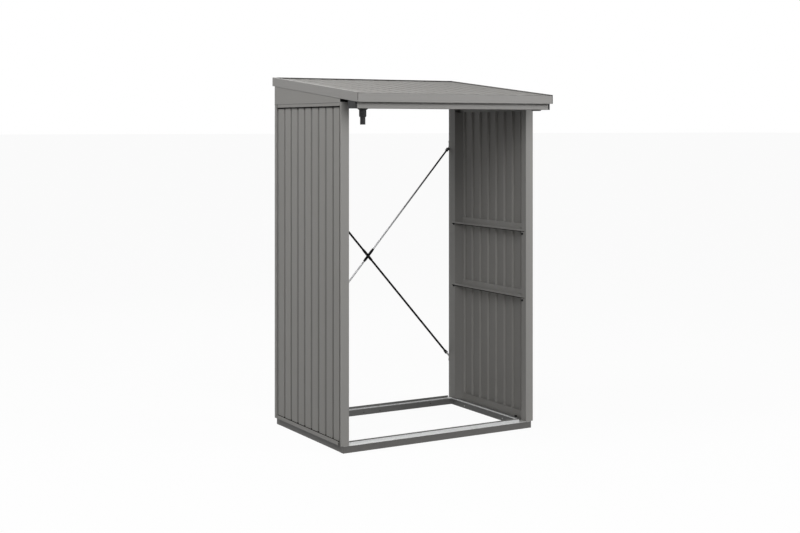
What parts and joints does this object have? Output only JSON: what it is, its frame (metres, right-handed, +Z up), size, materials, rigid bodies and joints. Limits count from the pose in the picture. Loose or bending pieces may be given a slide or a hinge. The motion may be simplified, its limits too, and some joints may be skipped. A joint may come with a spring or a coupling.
{
  "type": "open log store",
  "caption": "Narrow open log store of folded sheet steel: ribbed side walls, open front and back, crossed tie rods, pent roof with a front gutter.",
  "frame": {"origin": "on the ground, under the middle of the roof's outline", "axes": "+X to the right seen from the open front, +Y towards the back, +Z up"},
  "size_m": [1.235, 1.024, 1.99],
  "materials": {
    "bare_zinc": "satin",
    "base_steel": "satin",
    "black_plastic": "satin",
    "bright_steel": "polished",
    "dark_steel": "satin",
    "roof_paint": "satin",
    "post_paint": "satin",
    "wall_paint": "satin"
  },
  "bodies": {
    "root": {"back_header": "post_paint", "base_back_rail": "base_steel", "base_corner_back_left": "bare_zinc", "base_corner_back_right": "bare_zinc", "base_corner_front_left": "bare_zinc", "base_corner_front_right": "bare_zinc", "base_front_rail": "base_steel", "base_left_rail": "base_steel", "base_right_rail": "base_steel", "brace_bracket_left_lower": "dark_steel", "brace_bracket_left_upper": "dark_steel", "brace_bracket_right_lower": "dark_steel", "brace_bracket_right_upper": "dark_steel", "brace_rod_falling": "dark_steel", "brace_rod_rising": "bright_steel", "brace_sleeve_falling": "dark_steel", "brace_sleeve_rising": "dark_steel", "front_header": "post_paint", "front_sill": "bare_zinc", "gutter": "roof_paint", "gutter_left_cap": "black_plastic", "gutter_outlet": "black_plastic", "gutter_plug": "black_plastic", "gutter_right_cap": "black_plastic", "left_back_post": "post_paint", "left_bottom_rail": "wall_paint", "left_front_post": "post_paint", "left_gable": "wall_paint", "left_lower_girt": "wall_paint", "left_top_rail": "wall_paint", "left_upper_girt": "wall_paint", "left_wall_panel": "wall_paint", "right_back_post": "post_paint", "right_bottom_rail": "wall_paint", "right_front_post": "post_paint", "right_gable": "wall_paint", "right_lower_girt": "wall_paint", "right_top_rail": "wall_paint", "right_upper_girt": "wall_paint", "right_wall_panel": "wall_paint", "roof_back_fascia": "roof_paint", "roof_front_fascia": "roof_paint", "roof_left_fascia": "roof_paint", "roof_right_fascia": "roof_paint", "roof_sheet": "roof_paint"}
  },
  "joints": []
}
